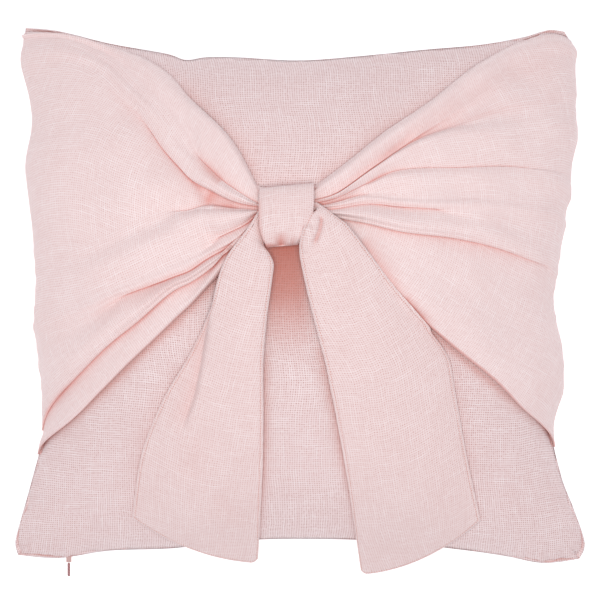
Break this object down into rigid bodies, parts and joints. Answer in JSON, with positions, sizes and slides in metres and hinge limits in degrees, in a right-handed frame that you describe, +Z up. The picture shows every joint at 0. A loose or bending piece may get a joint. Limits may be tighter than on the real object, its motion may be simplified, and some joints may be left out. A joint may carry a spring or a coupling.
{
  "type": "filled cushion cover with a bow",
  "caption": "Square linen cushion cover on its filling, lying on its back, with gathered bow wings sewn into the side seams, a knot band and long tails.",
  "frame": {"origin": "middle of the flat patch of the back that rests on the surface", "axes": "+X to the right and +Y to the top edge of the cushion as seen from the front, +Z up out of its face"},
  "size_m": [0.448, 0.4335, 0.1517],
  "materials": {
    "cover_linen": "matte open plain weave with slubs",
    "bow_linen": "matte open plain weave with slubs",
    "zip_metal": "satin paint in the cloth's colour",
    "pull_cord": "matte cord"
  },
  "bodies": {
    "root": {"cushion": "cover_linen", "left_wing": "bow_linen", "right_wing": "bow_linen", "left_tail": "bow_linen", "right_tail": "bow_linen", "knot_band": "bow_linen", "zip_slider": "zip_metal", "zip_pull": "pull_cord"}
  },
  "joints": []
}
